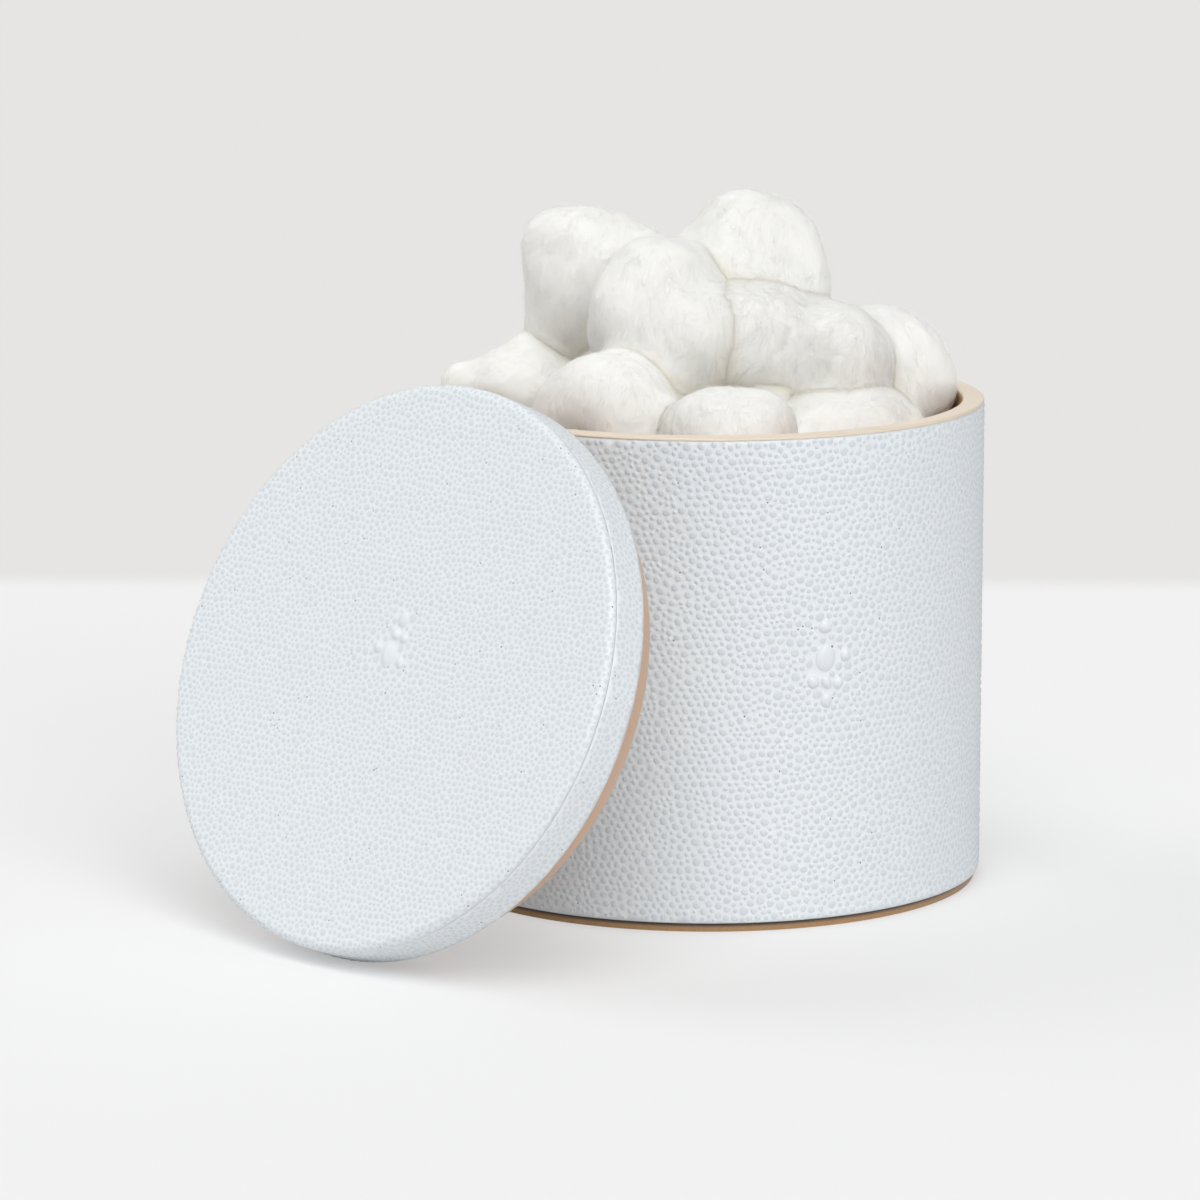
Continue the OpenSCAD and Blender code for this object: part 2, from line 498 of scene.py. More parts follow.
def leaning(facing: float, lean: float, shift: float, foot_y: float, radius: float) -> Placing:
    """Place of the lid: turned up to lean degrees from upright on its lower edge, then turned to face.

    Args:
        facing: Direction that it faces, in degrees from -Y towards -X.
        lean: Lean back from upright, in degrees.
        shift: Sideways shift of its centre, in mm.
        foot_y: Distance from the canister's axis to its lower edge, in mm.
        radius: The lid's radius, in mm.

    Returns:
        The place of the closed lid's axes.
    """
    a, b = math.radians(-facing), math.radians(90 - lean)
    turn_z = np.array([[math.cos(a), -math.sin(a), 0], [math.sin(a), math.cos(a), 0], [0, 0, 1]])
    turn_x = np.array([[1, 0, 0], [0, math.cos(b), -math.sin(b)], [0, math.sin(b), math.cos(b)]])
    turn = turn_z @ turn_x
    moved = turn_z @ np.array([shift, -foot_y, 0]) + turn @ np.array([0, radius, 0])
    return Placing(tuple(map(tuple, turn.tolist())), tuple(moved.tolist()))


# ---------------------------------------------------------------- shagreen sheets


@dataclass(frozen=True)
class Pearl:
    """Large bead of the shagreen: its centre, half sizes and rise on the flat sheet, in mm."""

    u: float
    v: float
    half_u: float
    half_v: float
    rise: float = 0.25


@dataclass
class Sheet(ABC):
    """Embossed sheet: round beads of mixed sizes, which stand up out of a flat groove between them.

    Attributes:
        name: The piece's name.
        node: The CAD node that it replaces.
        spacing: Mean distance between the beads, in mm.
        seed: Seed of the random draws.
        frame_of: Place of the sheet's body axes in the CAD frame.
        pearls: Large beads.
        thickness: Thickness of the sheet, in mm.
        relief: Depth of the groove below the beads' tops, in mm.
        groove: Width of the groove between two beads, in mm.
        swell: Growth of the beads next to the pearls.
        swell_reach: Distance at which that growth has faded, in mm.
        pits: Dark pits in the groove, as a share of the beads.
        pit_radius: Radius of a pit, in mm.
        pit_room: Least radius of the free space that a pit lies in, in mm.
        shake: Largest shift of a bead from the lattice, as a share of the spacing.
        sizes: Mean radii of the large and the small beads, as a share of the spacing.
        scatter: Standard deviation of both.
        rounds: How often the beads push each other.
        push: Share of an overlap that one round clears.
        draw: Share of a too wide groove that one round closes.
        push_limit: Largest move in one round, in mm.
        growth: Largest growth of a bead into its free space.
        least: Radius of the smallest bead that stays, in mm.
        outline_step: Distance between the points of the outline, in mm.
        pearl_sides: Number of sides of a pearl. A bead has 5 to 9.
        pearl_rings: Rings of points on a pearl, as shares of its size.
        sway: How far and at what wavelength the front is bent, in mm.
    """

    name: str
    node: str
    spacing: float
    seed: int
    frame_of: Placing
    pearls: tuple[Pearl, ...] = ()
    thickness: float = 0.8
    relief: float = 0.3
    groove: float = 0.17
    swell: float = 0.2
    swell_reach: float = 11.0
    pits: float = 0.012
    pit_radius: float = 0.15
    pit_room: float = 0.26
    shake: float = 0.45
    sizes: tuple[float, float] = (0.57, 0.37)
    scatter: float = 0.06
    rounds: int = 12
    push: float = 0.3
    draw: float = 0.07
    push_limit: float = 0.3
    growth: float = 1.35
    least: float = 0.16
    outline_step: float = 0.9
    pearl_sides: int = 18
    pearl_rings: tuple[float, ...] = (0.82, 0.6, 0.34)
    sway: tuple[float, float] = (0.1, 5.0)

    @abstractmethod
    def extent(self) -> tuple[Array, Array]:
        """Lowest and highest corner of the flat sheet, in mm."""

    @abstractmethod
    def depth_inside(self, flat: Array) -> Array:
        """Distance of flat points inside the sheet's outline, in mm; below 0 outside."""

    @abstractmethod
    def kept_inside(self, flat: Array, margin: Array) -> Array:
        """Points moved so that they are at least their margin inside the outline."""

    @abstractmethod
    def outline(self, step: float) -> Array:
        """Points along the outline, anticlockwise and about a step apart."""

    @abstractmethod
    def back_points(self) -> Array:
        """Inner points that the plain back of the sheet needs to follow its curve."""

    @abstractmethod
    def place(self, flat: Array, height: Array) -> Array:
        """Carries flat points onto the body, height mm out of the beads' tops, in the CAD frame."""

    def lattice(self, rng: np.random.Generator) -> tuple[Array, Array]:
        """Starts the beads: a shaken triangular lattice, half of it large beads and half small ones.

        Near the first pearl it is stretched: p = c + (q - c) * (1 + swell * exp(-(|q - c| / reach)^2)).

        Returns:
            Centres and radii.
        """
        low, high = self.extent()
        pitch = self.spacing
        rows = np.arange(low[1] - 4 * pitch, high[1] + 4 * pitch, pitch * math.sqrt(3) / 2)
        columns = np.arange(low[0] - 4 * pitch, high[0] + 4 * pitch, pitch)
        u, v = np.meshgrid(columns, rows)
        u = u + (np.arange(len(rows)) % 2)[:, None] * pitch / 2
        centre = np.stack([u.ravel(), v.ravel()], axis=1)
        centre += rng.uniform(-self.shake, self.shake, centre.shape) * pitch
        large = rng.uniform(size=len(centre)) < 0.5
        radius = np.where(large, *(rng.normal(size, self.scatter, len(centre)) for size in self.sizes)) * pitch
        if self.pearls:
            middle = np.array([self.pearls[0].u, self.pearls[0].v])
            away = centre - middle
            grown = 1 + self.swell * np.exp(-(away**2).sum(axis=1) / self.swell_reach**2)
            centre, radius = middle + away * grown[:, None], radius * grown
        keep = self.depth_inside(centre) > 0.2 * pitch
        return centre[keep], np.maximum(radius[keep], 0.15 * pitch)

    def beads(self, rng: np.random.Generator) -> tuple[Array, Array, Array]:
        """Places the beads: they push each other apart until the grooves between them are even.

        Returns:
            Centres and half sizes, N by 2, the pearls first and the pits last, and the count of pits.
        """
        centre, radius = self.lattice(rng)
        fixed = len(self.pearls)
        spots = np.array([[p.u, p.v] for p in self.pearls]).reshape(-1, 2)
        halves = np.array([[p.half_u, p.half_v] for p in self.pearls]).reshape(-1, 2)
        for spot, half in zip(spots, halves):
            clear = np.linalg.norm((centre - spot) / (half + 0.35 * self.spacing), axis=1) > 1
            centre, radius = centre[clear], radius[clear]
        centre = np.concatenate([spots, centre])
        radius = np.concatenate([halves.mean(axis=1), radius])
        for turn in range(self.rounds):
            if turn % 3 == 0:
                ends = edges_of(delaunay(centre))
            apart = centre[ends[:, 1]] - centre[ends[:, 0]]
            distance = np.linalg.norm(apart, axis=1)
            slack = distance - radius[ends].sum(axis=1) - self.groove
            pull = np.where(slack < 0, self.push, self.draw) * slack / distance
            for axis in range(2):
                moved = np.bincount(ends[:, 0], pull * apart[:, axis], len(centre))
                moved -= np.bincount(ends[:, 1], pull * apart[:, axis], len(centre))
                centre[fixed:, axis] += np.clip(moved, -self.push_limit, self.push_limit)[fixed:]
            centre[fixed:] = self.kept_inside(centre[fixed:], radius[fixed:] + 0.08)
        cells = delaunay(centre)
        ends = edges_of(cells)
        distance = np.linalg.norm(centre[ends[:, 1]] - centre[ends[:, 0]], axis=1)
        room = (distance - self.groove) / radius[ends].sum(axis=1)
        share = np.full(len(centre), self.growth)
        for end in ends.T:
            np.minimum.at(share, end, room)
        radius *= np.maximum(share, 0)
        for spot, half in zip(spots, halves):
            away = centre - spot
            ratio = np.linalg.norm(away / half, axis=1)
            gap = np.linalg.norm(away, axis=1) * (1 - 1 / np.maximum(ratio, 1e-6)) - 0.7 * self.groove
            radius = np.where(ratio > 1e-6, np.minimum(radius, gap), radius)
        radius = np.minimum(radius, self.depth_inside(centre) - 0.05)
        half = np.repeat(radius[:, None], 2, axis=1)
        half[:fixed] = halves
        pits = self.pit_places(rng, centre, radius, cells)
        keep = (radius > self.least) | (np.arange(len(centre)) < fixed)
        small = np.full((len(pits), 2), self.pit_radius)
        return np.concatenate([centre[keep], pits]), np.concatenate([half[keep], small]), len(pits)

    def pit_places(self, rng: np.random.Generator, centre: Array, radius: Array, cells: Array) -> Array:
        """Draws the pits' centres, in the middles of the triangles that have room between their beads."""
        middle = centre[cells].mean(axis=1)
        free = (np.linalg.norm(centre[cells] - middle[:, None], axis=2) - radius[cells]).min(axis=1)
        free = np.minimum(free, self.depth_inside(middle))
        return middle[rng.permutation(np.flatnonzero(free > self.pit_room))[: round(self.pits * len(centre))]]

    def build(self) -> Object:
        """Makes the closed sheet: groove, beads and pearls in front, a plain back, and its cut edges."""
        rng = np.random.default_rng(self.seed)
        centre, half, pit_count = self.beads(rng)
        total, fixed = len(centre), len(self.pearls)
        bead = np.arange(total)
        is_pit = bead >= total - pit_count
        tone = rng.uniform(0, 1, total)
        top = np.where(is_pit, -self.relief - 0.12, rng.normal(-0.02, 0.02, total))
        top[:fixed] = [pearl.rise for pearl in self.pearls]
        sides = np.clip(np.round(3.1 + 3.9 * half.mean(axis=1)), 5, 9).astype(int)
        sides[:fixed] = self.pearl_sides
        phase = rng.uniform(0, FULL_TURN, total)

        border = self.outline(self.outline_step)
        base = sides.sum() + len(border)
        flat, owner = [], []
        inner_flat, inner_height, inner_owner = [centre], [top], [bead]
        faces: list[Array] = []
        used, inner_used = 0, base + total
        for count in np.unique(sides):
            chosen = np.flatnonzero(sides == count)
            angle = phase[chosen][:, None] + np.arange(count) * FULL_TURN / count
            spoke = np.stack([np.cos(angle), np.sin(angle)], axis=2) * half[chosen][:, None]
            flat.append((centre[chosen][:, None] + spoke).reshape(-1, 2))
            owner.append(np.repeat(chosen, count))
            ring = used + np.arange(len(chosen) * count).reshape(-1, count)
            used += ring.size
            for share in self.pearl_rings if count == self.pearl_sides else ():
                inner_flat.append((centre[chosen][:, None] + spoke * share).reshape(-1, 2))
                lifted = (top[chosen] + self.relief)[:, None] * (1 - share**2.4) - self.relief
                inner_height.append(np.repeat(lifted, count, axis=1).ravel())
                inner_owner.append(np.repeat(chosen, count))
                inside = inner_used + np.arange(ring.size).reshape(-1, count)
                inner_used += ring.size
                faces.append(band(ring, inside))
                ring = inside
            apex = np.broadcast_to((base + chosen)[:, None], ring.shape)
            faces.append(np.stack([ring, np.roll(ring, -1, axis=1), apex], axis=2).reshape(-1, 3))
        flat.append(border)
        owner = np.concatenate([*owner, -1 - np.arange(len(border))])
        outer = np.concatenate(flat)
        mesh = delaunay(outer)
        names = owner[mesh]
        faces.append(mesh[(names[:, 0] != names[:, 1]) | (names[:, 1] != names[:, 2])])

        front = np.concatenate([outer, *inner_flat])
        taper = np.clip(self.depth_inside(front) / 2 - 0.1, 0, 1)[:, None]
        space = np.column_stack([front, np.zeros(len(front))])
        far, wavelength = self.sway
        front += far * taper * np.stack([Waves(self.seed + i, wavelength)(space) for i in (1, 2)], axis=1)
        back = np.concatenate([border, self.back_points()])
        first = len(front)
        edge = np.arange(len(border))
        after = np.roll(edge, -1)
        rim = sides.sum()
        faces.append(np.stack([rim + after, rim + edge, first + edge], axis=1))
        faces.append(np.stack([rim + after, first + edge, first + after], axis=1))
        faces.append(first + delaunay(back)[:, ::-1])

        groove = np.full(len(outer), -self.relief)
        whose = np.concatenate([np.maximum(owner, 0), *inner_owner])
        on_bead = np.concatenate([owner >= 0, np.ones(len(front) - len(outer), bool)])
        blank = np.zeros(len(back))
        height = np.concatenate([groove, *inner_height, blank - self.thickness])
        made = mesh_object(self.name, self.place(np.concatenate([front, back]), height), np.concatenate(faces))
        attributes = {
            "relief": (np.arange(len(front)) >= len(outer), 0),
            "tone": (np.where(on_bead, tone[whose], 0.5), 0.5),
            "pit": (on_bead & is_pit[whose], 0),
            "pearl": (on_bead & (whose < fixed), 0),
        }
        for name, (on_front, on_back) in attributes.items():
            set_attribute(made, name, np.concatenate([on_front, blank + on_back]))
        return made


def delaunay(points: Array) -> Array:
    """Delaunay triangles of N by 2 points, anticlockwise, without the flat ones along a straight side."""
    cut = delaunay_2d_cdt([Vector(p) for p in points.tolist()], [], [], 0, 1e-7, True)
    source = np.array([ids[0] for ids in cut[3]])
    mesh = source[np.array(cut[2])]
    one, two = points[mesh[:, 1]] - points[mesh[:, 0]], points[mesh[:, 2]] - points[mesh[:, 0]]
    area = one[:, 0] * two[:, 1] - one[:, 1] * two[:, 0]
    mesh[area < 0] = mesh[area < 0][:, ::-1]
    return mesh[np.abs(area) > 1e-5]


def polar(radius: Array | float, angle: Array) -> Array:
    """Points N by 2 from their distances and directions."""
    return np.stack([radius * np.cos(angle), radius * np.sin(angle)], axis=1)


def edges_of(mesh: Array) -> Array:
    """Edges of triangles, each once, as M by 2 point numbers."""
    pairs = np.concatenate([mesh[:, [0, 1]], mesh[:, [1, 2]], mesh[:, [2, 0]]])
    return np.unique(np.sort(pairs, axis=1), axis=0)


def band(outer: Array, inner: Array) -> Array:
    """Triangles between rings of points, K by N numbers each, anticlockwise."""
    following, inner_following = np.roll(outer, -1, axis=1), np.roll(inner, -1, axis=1)
    one = np.stack([outer, following, inner_following], axis=2)
    two = np.stack([outer, inner_following, inner], axis=2)
    return np.concatenate([one, two]).reshape(-1, 3)


@dataclass
class RolledStrip(Sheet):
    """Strip bent round an upright axis into a tube with a butt seam.

    Attributes:
        radius: Radius over the beads, in mm.
        z_low: Lower edge, in mm.
        z_high: Upper edge, in mm.
        seam_at: Direction of the seam, in degrees from +X.
        seam_gap: Gap at the seam, in mm.
    """

    radius: float = 57.5
    z_low: float = 0.0
    z_high: float = 1.0
    seam_at: float = 90.0
    seam_gap: float = 0.3

    def extent(self) -> tuple[Array, Array]:
        """Lowest and highest corner: the tube's girth less the seam's gap, by its height."""
        return np.zeros(2), np.array([FULL_TURN * self.radius - self.seam_gap, self.z_high - self.z_low])

    def depth_inside(self, flat: Array) -> Array:
        """Distance to the nearest of the four sides."""
        return np.minimum(flat, self.extent()[1] - flat).min(axis=1)

    def kept_inside(self, flat: Array, margin: Array) -> Array:
        """Points held within the rectangle less their margin."""
        return np.clip(flat, margin[:, None], self.extent()[1] - margin[:, None])

    def outline(self, step: float) -> Array:
        """Bottom, right, top and left side, evenly divided."""
        wide, tall = self.extent()[1]
        corners = np.array([[0, 0], [wide, 0], [wide, tall], [0, tall]])
        sides = []
        for start, end in zip(corners, np.roll(corners, -1, axis=0)):
            count = math.ceil(np.abs(end - start).sum() / step)
            sides.append(start + (end - start) * (np.arange(count) / count)[:, None])
        return np.concatenate(sides)

    def back_points(self) -> Array:
        """Columns 3.6 mm apart, so that the back stays round."""
        wide, tall = self.extent()[1]
        rows = math.ceil(tall / 12)
        u, v = np.meshgrid(np.arange(1.8, wide - 1, 3.6), (np.arange(rows) + 0.5) * tall / rows)
        return np.stack([u.ravel(), v.ravel()], axis=1)

    def place(self, flat: Array, height: Array) -> Array:
        """Wraps: angle = seam + (gap / 2 + u) / R, radius = R + height, z = low + v."""
        angle = math.radians(self.seam_at) + (self.seam_gap / 2 + flat[:, 0]) / self.radius
        return self.frame_of.carry(np.column_stack([polar(self.radius + height, angle), self.z_low + flat[:, 1]]))


@dataclass
class DiscCover(Sheet):
    """Round sheet over a disc, bent down over its rounded edge.

    Attributes:
        radius: Radius over the beads, in mm.
        top: Height of the beads' tops, in mm.
        bend: Radius of the rounded edge, in mm.
        turn_down: Straight part below the rounding, in mm.
    """

    radius: float = 57.5
    top: float = 10.2
    bend: float = 1.6
    turn_down: float = 0.3

    def reach(self) -> float:
        """Radius of the flat sheet: flat part, a quarter turn and the straight part."""
        return self.radius - self.bend + math.pi / 2 * self.bend + self.turn_down

    def extent(self) -> tuple[Array, Array]:
        """Lowest and highest corner."""
        return np.full(2, -self.reach()), np.full(2, self.reach())

    def depth_inside(self, flat: Array) -> Array:
        """Distance to the circle."""
        return self.reach() - np.linalg.norm(flat, axis=1)

    def kept_inside(self, flat: Array, margin: Array) -> Array:
        """Points moved along their radius until they are inside by their margin."""
        length = np.linalg.norm(flat, axis=1)
        return flat * np.minimum(1, (self.reach() - margin) / np.maximum(length, 1e-6))[:, None]

    def outline(self, step: float) -> Array:
        """The circle, evenly divided."""
        angle = np.linspace(0, FULL_TURN, math.ceil(FULL_TURN * self.reach() / step), endpoint=False)
        return polar(self.reach(), angle)

    def back_points(self) -> Array:
        """Rings where the sheet bends, and one on its flat part."""
        bent = self.radius - self.bend + np.array([-30, -0.6, 0.2, 0.8, 1.4, 2.0])
        radius, angle = np.meshgrid(bent, np.arange(150) * FULL_TURN / 150)
        return polar(radius.ravel(), angle.ravel())

    def place(self, flat: Array, height: Array) -> Array:
        """Bends: flat out to R - b, then a quarter circle of radius b, then straight down."""
        length = np.linalg.norm(flat, axis=1)
        over = np.maximum(length - (self.radius - self.bend), 0)
        turn = np.minimum(over / self.bend, math.pi / 2)
        down = np.maximum(over - math.pi / 2 * self.bend, 0)
        arm = self.bend + height
        radius = np.where(over > 0, self.radius - self.bend + arm * np.sin(turn), length)
        z = np.where(over > 0, self.top - self.bend + arm * np.cos(turn) - down, self.top + height)
        unit = flat / np.maximum(length, 1e-9)[:, None]
        return self.frame_of.carry(np.column_stack([unit * radius[:, None], z]))


# ---------------------------------------------------------------- canister and lid


@dataclass
class Canister:
    """Turned wall and base with a rim, the pebbled covering round it and the suede pad under it.

    Attributes:
        radius: Radius over the covering, in mm.
        wrap_low: Lower edge of the covering, in mm.
        wrap_high: Its upper edge, in mm.
    """

    radius: float = 57.5
    wrap_low: float = 1.9
    wrap_high: float = 99.4

    def pearl(self, angle: float, z: float, across: float, tall: float) -> Pearl:
        """Pearl of the covering, from its direction in degrees, its height and its size in mm."""
        u = math.radians((angle - 90) % 360) * self.radius - 0.15
        return Pearl(u, z - self.wrap_low, across / 2, tall / 2)

    def wrap(self) -> RolledStrip:
        """The covering: its pearls are an oval one with six round ones about it."""
        pearls = tuple(itertools.starmap(self.pearl, (
            (-65.24, 55.0, 4.0, 5.8), (-67.8, 50.1, 2.3, 2.5), (-65.0, 50.1, 2.4, 2.6), (-62.3, 49.7, 2.3, 2.4),
            (-64.95, 46.3, 2.7, 3.0), (-65.3, 61.3, 2.9, 2.6), (-60.7, 55.2, 2.3, 2.5),
        )))
        return RolledStrip(
            name="canister_covering", node="canister_wrap", spacing=1.7, seed=11, frame_of=Placing(), pearls=pearls,
            radius=self.radius, z_low=self.wrap_low, z_high=self.wrap_high,
        )

    def build(self, shagreen: Material, paint: Material, suede: Material) -> None:
        """Makes the covering and dresses the CAD nodes that stay."""
        sheet = self.wrap()
        register(sheet.build(), Body.CANISTER, Slot.SHAGREEN, shagreen, sheet.node)
        dress("canister_wall", paint)
        dress("canister_base", paint)
        dress("foot_pad", suede)


@dataclass
class Lid:
    """Turned lid with its locating ring, a sheet over its top and a strip round its side.

    Attributes:
        placing: Where it leans.
        radius: Radius over the covering, in mm.
        height: Height of the covered top, in mm.
        strip_low: Lower edge of the side strip, in mm.
        strip_high: Its upper edge, in mm.
    """

    placing: Placing
    radius: float = 57.5
    height: float = 10.2
    strip_low: float = 0.2
    strip_high: float = 8.25

    def build(self, shagreen: Material, paint: Material) -> None:
        """Makes both coverings and dresses the CAD nodes that stay."""
        pearls = (
            Pearl(-0.26, 1.96, 1.75, 2.6), Pearl(-3.4, 3.4, 1.1, 1.3), Pearl(1.34, 9.5, 1.35, 1.6),
            Pearl(3.0, 5.9, 1.1, 1.3), Pearl(0.3, 6.4, 1.1, 1.2), Pearl(3.4, 1.2, 1.0, 1.2),
        )
        fine = {"spacing": 1.42, "relief": 0.2, "groove": 0.15, "frame_of": self.placing, "radius": self.radius}
        top = DiscCover(
            name="lid_covering_top", node="lid_top_cover", seed=23, pearls=pearls, top=self.height, **fine,
        )
        side = RolledStrip(
            name="lid_covering_side", node="lid_side_wrap", seed=37,
            z_low=self.strip_low, z_high=self.strip_high, seam_at=180.0, **fine,
        )
        for sheet in (top, side):
            register(sheet.build(), Body.LID, Slot.SHAGREEN, shagreen, sheet.node)
        dress("lid_core", paint)
        dress("lid_locating_ring", paint)


# ---------------------------------------------------------------- cotton


@dataclass(frozen=True)
class Lobe:
    """Round part of a cotton ball: its centre, with its height over the rim, and its radius, in mm."""

    x: float
    y: float
    over_rim: float
    radius: float


@dataclass(frozen=True)
class Wad:
    """One cotton ball of the heap.

    Attributes:
        lobes: Its round parts.
        lay: Direction in which its fibres run.
        seen: Whether the photographed side shows it, so that it gets the finest mesh and loose fibres.
    """

    lobes: tuple[Lobe, ...]
    lay: tuple[float, float, float] = (0.2, 0.1, 1.0)
    seen: bool = True


@dataclass
class CottonHeap:
    """The heap of cotton balls over the rim, and the hidden layers under it.

    Attributes:
        wads: The balls, in the order of the CAD nodes.
        rim: Height of the canister's rim, in mm.
        bore: Radius that the cotton keeps to inside the canister, in mm.
        floor: Height of the canister's floor, in mm.
        overlap: How far the fibres of two balls that press together reach into each other, in mm.
        blend: How softly the lobes of one ball join, in mm.
        press: Width k of the soft minimum that fills the creases between the balls, in mm.
        shoulder: How softly a ball's free surface bends into the seam, in mm.
        bend: How far the waves bend the balls, in mm.
        grain: Distance between the points of a ball's skin, in mm.
        margin: Room about the lobes for the filled creases, in mm.
        free_from: Distance to the next ball from which a ball's skin has all its lumps, in mm.
        tuft: Height of the tufts on a ball, in mm.
        strand: Height of the strands on them, in mm.
        fibre_length: Shortest and longest loose fibre, in mm.
        fibre_arch: Lowest and highest arch of one over the skin, in mm.
        fibre_half: Half the thickness of one, in mm: a little over the real one.
        stretch: How many times as long as wide the fibres' pattern is.
        layers: Number of hidden layers.
        hidden_radius: Radius of a hidden ball, in mm.
        hidden_step: Height from one hidden layer to the next, in mm.
        hidden_gap: Space between two hidden balls, in mm.
    """

    wads: tuple[Wad, ...]
    rim: float = 99.9
    bore: float = 52.6
    floor: float = 7.9
    overlap: float = 1.0
    blend: float = 4.0
    press: float = 2.8
    shoulder: float = 0.12
    bend: float = 0.5
    grain: float = 0.42
    margin: float = 4.6
    free_from: float = 2.5
    tuft: float = 0.045
    strand: float = 0.02
    fibres: tuple[int, int] = (3000, 600)
    fibre_length: tuple[float, float] = (1.6, 5.5)
    fibre_arch: tuple[float, float] = (0.05, 1.3)
    fibre_half: float = 0.014
    stretch: float = 11.0
    layers: int = 3
    hidden_radius: float = 12.43
    hidden_step: float = 25.17
    hidden_gap: float = 0.3

    def centres(self, wad: Wad) -> tuple[Array, Array]:
        """Centres (N by 3) and radii of a ball's lobes, in mm."""
        centres = np.array([[lobe.x, lobe.y, self.rim + lobe.over_rim] for lobe in wad.lobes])
        return centres, np.array([lobe.radius for lobe in wad.lobes])

    def distance(self, wad: Wad, points: Array) -> Array:
        """Distance from a ball's lobes, below 0 inside: the soft minimum of |p - c| - r over the lobes."""
        centres, radii = self.centres(wad)
        away = np.linalg.norm(points[:, None, :] - centres[None], axis=2) - radii
        least = away[:, 0]
        for column in away.T[1:]:
            least = soft_minimum(least, column, self.blend)
        return least

    def skin(self, number: int, points: Array) -> tuple[Array, Array, Array]:
        """Field whose zero is the skin of one ball, where it is free and where it presses on others.

        The free skin lies where the soft minimum of every ball's distance, -k log(sum(exp(-d / k))),
        is 0, so that balls which touch run softly into each other. Each ball ends at the face halfway
        to the next one and at the canister's wall. Smooth waves bend the points first, so that neither
        the balls nor the faces between them are regular.

        Args:
            number: The ball's place in the list.
            points: N by 3 points.

        Returns:
            The field in mm, below 0 inside. The distance by which the ball is free of the others.
            How many balls meet at the point, as the logarithm of a soft count.
        """
        bent = points + self.bend * np.stack([Waves(800 + i, 26.0, 10)(points) for i in range(3)], axis=1)
        near = np.stack([self.distance(wad, bent) for wad in self.wads])
        own = near[number]
        others = np.delete(near, number, axis=0).min(axis=0)
        least = np.minimum(own, others)
        meeting = np.log(np.exp((least - near) / self.press).sum(axis=0))
        pressed = (own - others) / 2 - self.overlap / 2
        body = -soft_minimum(self.press * meeting - least, -pressed, self.shoulder)
        wall = np.minimum(np.hypot(points[:, 0], points[:, 1]) - self.bore, self.rim + 0.3 - points[:, 2])
        return np.maximum(body, wall), others - own, meeting

    def off_wall(self, points: Array, slack: float) -> Array:
        """Points below the rim, moved in until they are clear of the canister's wall by a slack in mm."""
        far = np.hypot(points[..., 0], points[..., 1])
        limit = self.bore + slack
        pull = np.where((points[..., 2] < self.rim + 0.4) & (far > limit), limit / far, 1)
        return points * np.stack([pull, pull, np.ones_like(pull)], axis=-1)

    def bare_skin(self, number: int, wad: Wad) -> tuple[Array, ...]:
        """Meshes one ball's skin: surface nets on a grid, then one step along the field's slope.

        Args:
            number: The ball's place in the list.
            wad: The ball.

        Returns:
            Points, triangles, outward normals, freedom from the other balls from 0 to 1, and meeting.
        """
        centres, radii = self.centres(wad)
        step = self.grain * (1 if wad.seen else 1.5)
        low = (centres - radii[:, None]).min(axis=0) - self.margin
        high = (centres + radii[:, None]).max(axis=0) + self.margin
        grid = np.stack(np.meshgrid(*[np.arange(a, b, step) for a, b in zip(low, high)], indexing="ij"), axis=-1)
        field = self.skin(number, grid.reshape(-1, 3))[0].reshape(grid.shape[:3])
        border = np.ones(field.shape, bool)
        border[1:-1, 1:-1, 1:-1] = False
        field[border] = np.maximum(field[border], step)
        points, faces = surface_nets(field, low, step)
        value, free, meeting = self.skin(number, points)
        nudges = 0.05 * np.eye(3)
        slope = np.stack([self.skin(number, points + nudge)[0] - value for nudge in nudges], axis=1) / nudges.max()
        length = np.linalg.norm(slope, axis=1, keepdims=True)
        out = slope / length
        points -= np.clip(value[:, None] / length, -0.3, 0.3) * out
        return points, faces, out, np.clip(free / self.free_from, 0, 1), meeting

    def ball(self, number: int, wad: Wad) -> Object:
        """Makes one ball: its soft skin out of the heap's field, with lumps, tufts and loose fibres."""
        seed = 101 + number
        points, faces, out, free, meeting = self.bare_skin(number, wad)
        centres, radii = self.centres(wad)
        middle = (centres * radii[:, None]).sum(axis=0) / radii.sum()
        turn = fibre_axes(wad.lay)
        local = (points - middle) @ turn
        warp = np.stack([Waves(seed + 30 + i, 7.0)(local) for i in range(3)], axis=1) * 0.8
        lumps = 0.3 * Waves(seed, 15.0)(points) + 0.05 * Waves(seed + 20, 6.0)(local)
        tufts = Waves(seed + 70, 2.4, 50, (1, 1, 5))(local + warp)
        strands = Waves(seed + 60, 1.2, 60, (1, 1, 12))(local + warp)
        points += out * ((lumps + self.tuft * tufts + self.strand * strands) * free)[:, None]
        points = self.off_wall(points, 0.0)
        meshes = [(points, faces, (local + warp) / np.array([1, 1, self.stretch]), meeting, False)]
        if wad.seen:
            meshes.append(self.loose_fibres(seed, points, out, turn, free))
        return joined_cotton(f"cotton_ball_{number + 1}_wad", meshes)

